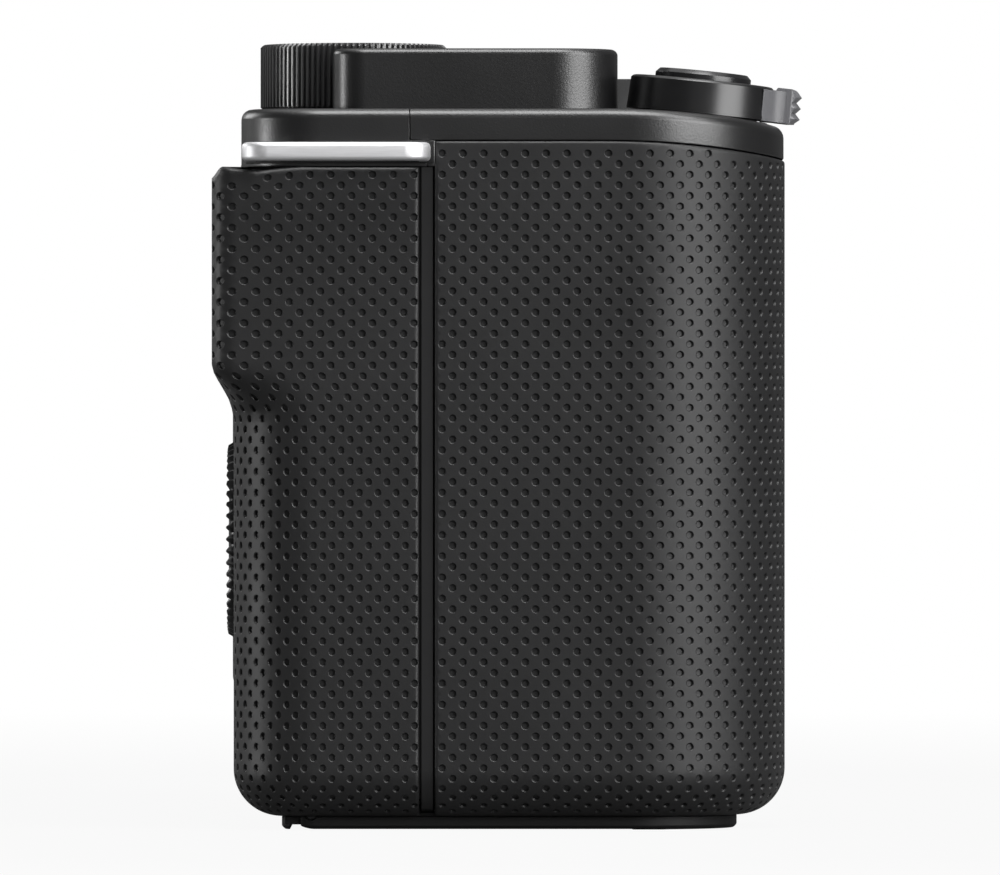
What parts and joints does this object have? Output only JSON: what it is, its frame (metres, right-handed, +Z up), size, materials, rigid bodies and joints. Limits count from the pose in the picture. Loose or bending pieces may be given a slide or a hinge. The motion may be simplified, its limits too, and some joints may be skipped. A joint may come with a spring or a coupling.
{
  "type": "mirrorless camera",
  "caption": "Compact mirrorless camera body with dimpled grip leather, top deck, zoom lever, control dial, tilting rear screen and bare lens mount.",
  "frame": {"origin": "mouth of the tripod socket in the base, under the lens axis", "axes": "+Z up, -Y the way the lens looks, -X the grip side"},
  "size_m": [0.1294, 0.0542, 0.0719],
  "materials": {
    "skin": "satin, dimpled leather-like covering",
    "shell": "fine-grained satin black paint",
    "control": "satin black anodised",
    "gloss": "gloss black",
    "plastic": "matt black moulded",
    "steel": "brushed and polished",
    "mount_steel": "machined satin steel",
    "collar": "satin dark grey",
    "gold": "gold plated",
    "sensor": "coated cover glass",
    "cast": "cast magnesium, bead blasted",
    "board": "solder-masked circuit board",
    "battery": "grained dark grey",
    "screen": "dark cover glass",
    "red": "red ring",
    "lamp": "smoked red lens"
  },
  "bodies": {
    "camera_body": {"grip_leather": "skin", "thumb_leather": "skin", "side_strip": "plastic", "strap_lug_right": "steel", "strap_lug_left": "steel", "mount_surround": "collar", "front_cover": "shell", "tally_lamp": "lamp", "rear_cover": "shell", "top_cover": "shell", "top_deck": "shell", "hot_shoe": "steel", "mic_grille": "control", "mic_capsules": "plastic", "dial_shaft": "steel", "base_plate": "shell", "base_screws": "steel", "tripod_socket": "steel", "battery_door_pin": "steel", "battery": "battery", "lens_mount_ring": "mount_steel", "mount_screws": "steel", "mount_contacts": "gold", "chassis_frame": "cast", "stabiliser_frame": "cast", "heat_plate": "cast", "main_board": "board", "upper_hinge_pins": "steel", "side_door_pins": "steel", "jack_sockets": "plastic", "memory_card": "plastic", "card_slot": "steel"},
    "control_dial": {"control_dial": "control"},
    "zoom_lever": {"zoom_lever": "control"},
    "shutter_button": {"shutter_button": "gloss"},
    "record_button": {"record_button": "red"},
    "custom_button": {"custom_button": "control"},
    "power_switch": {"power_switch": "control"},
    "mode_switch": {"mode_switch": "control"},
    "control_wheel": {"control_wheel": "control"},
    "centre_button": {"centre_button": "control"},
    "menu_button": {"menu_button": "plastic"},
    "function_button": {"function_button": "plastic"},
    "playback_button": {"playback_button": "plastic"},
    "delete_button": {"delete_button": "plastic"},
    "screen_plate": {"screen_plate": "control", "lower_hinge_pins": "steel"},
    "screen": {"screen_housing": "plastic", "screen_glass": "screen"},
    "battery_door": {"battery_door": "plastic"},
    "battery_latch": {"battery_latch": "plastic"},
    "port_door": {"port_door": "plastic"},
    "charge_door": {"charge_door": "plastic"},
    "lens_release": {"lens_release_button": "control"},
    "lens_lock": {"lens_lock_pin": "steel"},
    "sensor_guide": {"sensor_guide": "cast"},
    "sensor_carrier": {"sensor_carrier": "cast", "image_sensor": "sensor"}
  },
  "joints": [
    {"name": "control_dial_turn", "type": "hinge", "parent": "camera_body", "child": "control_dial", "pos_m": [-0.051, 0.0135, 0.069], "axis": [0, 0, 1], "continuous": true},
    {"name": "zoom_lever_turn", "type": "hinge", "parent": "camera_body", "child": "zoom_lever", "pos_m": [-0.057, -0.0183, 0.06515], "axis": [0, -0.0993, 0.9951], "range_deg": [-12, 12], "stiffness_Nm_per_rad": 0.05},
    {"name": "shutter_press", "type": "slide", "parent": "camera_body", "child": "shutter_button", "axis": [0, 0.0993, -0.9951], "range_m": [0, 0.0005], "stiffness_N_per_m": 600},
    {"name": "record_press", "type": "slide", "parent": "camera_body", "child": "record_button", "axis": [0, 0, -1], "range_m": [0, 0.0004], "stiffness_N_per_m": 600},
    {"name": "custom_press", "type": "slide", "parent": "camera_body", "child": "custom_button", "axis": [0, 0, -1], "range_m": [0, 0.0004], "stiffness_N_per_m": 600},
    {"name": "power_slide", "type": "slide", "parent": "camera_body", "child": "power_switch", "axis": [1, 0, 0], "range_m": [-0.0018, 0.0018]},
    {"name": "mode_slide", "type": "slide", "parent": "camera_body", "child": "mode_switch", "axis": [0, 1, 0], "range_m": [-0.0028, 0.0028]},
    {"name": "control_wheel_turn", "type": "hinge", "parent": "camera_body", "child": "control_wheel", "pos_m": [-0.052, 0.023, 0.0263], "axis": [0, 1, 0], "continuous": true},
    {"name": "centre_press", "type": "slide", "parent": "camera_body", "child": "centre_button", "axis": [0, -1, 0], "range_m": [0, 0.0004], "stiffness_N_per_m": 600},
    {"name": "menu_press", "type": "slide", "parent": "camera_body", "child": "menu_button", "axis": [0, -1, 0], "range_m": [0, 0.0004], "stiffness_N_per_m": 600},
    {"name": "function_press", "type": "slide", "parent": "camera_body", "child": "function_button", "axis": [0, -1, 0], "range_m": [0, 0.0004], "stiffness_N_per_m": 600},
    {"name": "playback_press", "type": "slide", "parent": "camera_body", "child": "playback_button", "axis": [0, -1, 0], "range_m": [0, 0.0004], "stiffness_N_per_m": 600},
    {"name": "delete_press", "type": "slide", "parent": "camera_body", "child": "delete_button", "axis": [0, -1, 0], "range_m": [0, 0.0004], "stiffness_N_per_m": 600},
    {"name": "screen_lift", "type": "hinge", "parent": "camera_body", "child": "screen_plate", "pos_m": [0, 0.0233, 0.0603], "axis": [1, 0, 0], "range_deg": [0, 107]},
    {"name": "screen_tilt", "type": "hinge", "parent": "screen_plate", "child": "screen", "pos_m": [0, 0.0233, 0.011], "axis": [-1, 0, 0], "range_deg": [0, 41]},
    {"name": "battery_door_swing", "type": "hinge", "parent": "camera_body", "child": "battery_door", "pos_m": [-0.057, 0.0172, 0.0014], "axis": [1, 0, 0], "range_deg": [0, 95]},
    {"name": "battery_latch_slide", "type": "slide", "parent": "battery_door", "child": "battery_latch", "axis": [1, 0, 0], "range_m": [0, 0.0026]},
    {"name": "port_door_swing", "type": "hinge", "parent": "camera_body", "child": "port_door", "pos_m": [0.0466, 0.017, 0.046], "axis": [0, 0, 1], "range_deg": [0, 110]},
    {"name": "charge_door_swing", "type": "hinge", "parent": "camera_body", "child": "charge_door", "pos_m": [0.0466, 0.017, 0.02], "axis": [0, 0, 1], "range_deg": [0, 110]},
    {"name": "lens_release_press", "type": "slide", "parent": "camera_body", "child": "lens_release", "axis": [0, 1, 0], "range_m": [0, 0.002], "stiffness_N_per_m": 600},
    {"name": "lens_lock_draw", "type": "slide", "parent": "camera_body", "child": "lens_lock", "axis": [0, 1, 0], "range_m": [0, 0.0016], "stiffness_N_per_m": 150},
    {"name": "sensor_shift_x", "type": "slide", "parent": "camera_body", "child": "sensor_guide", "axis": [1, 0, 0], "range_m": [-0.001, 0.001], "stiffness_N_per_m": 2500},
    {"name": "sensor_shift_z", "type": "slide", "parent": "sensor_guide", "child": "sensor_carrier", "axis": [0, 0, 1], "range_m": [-0.001, 0.001], "stiffness_N_per_m": 2500}
  ],
  "couplings": [
    {"joint": "lens_lock_draw", "follows": "lens_release_press", "ratio": 0.8}
  ]
}
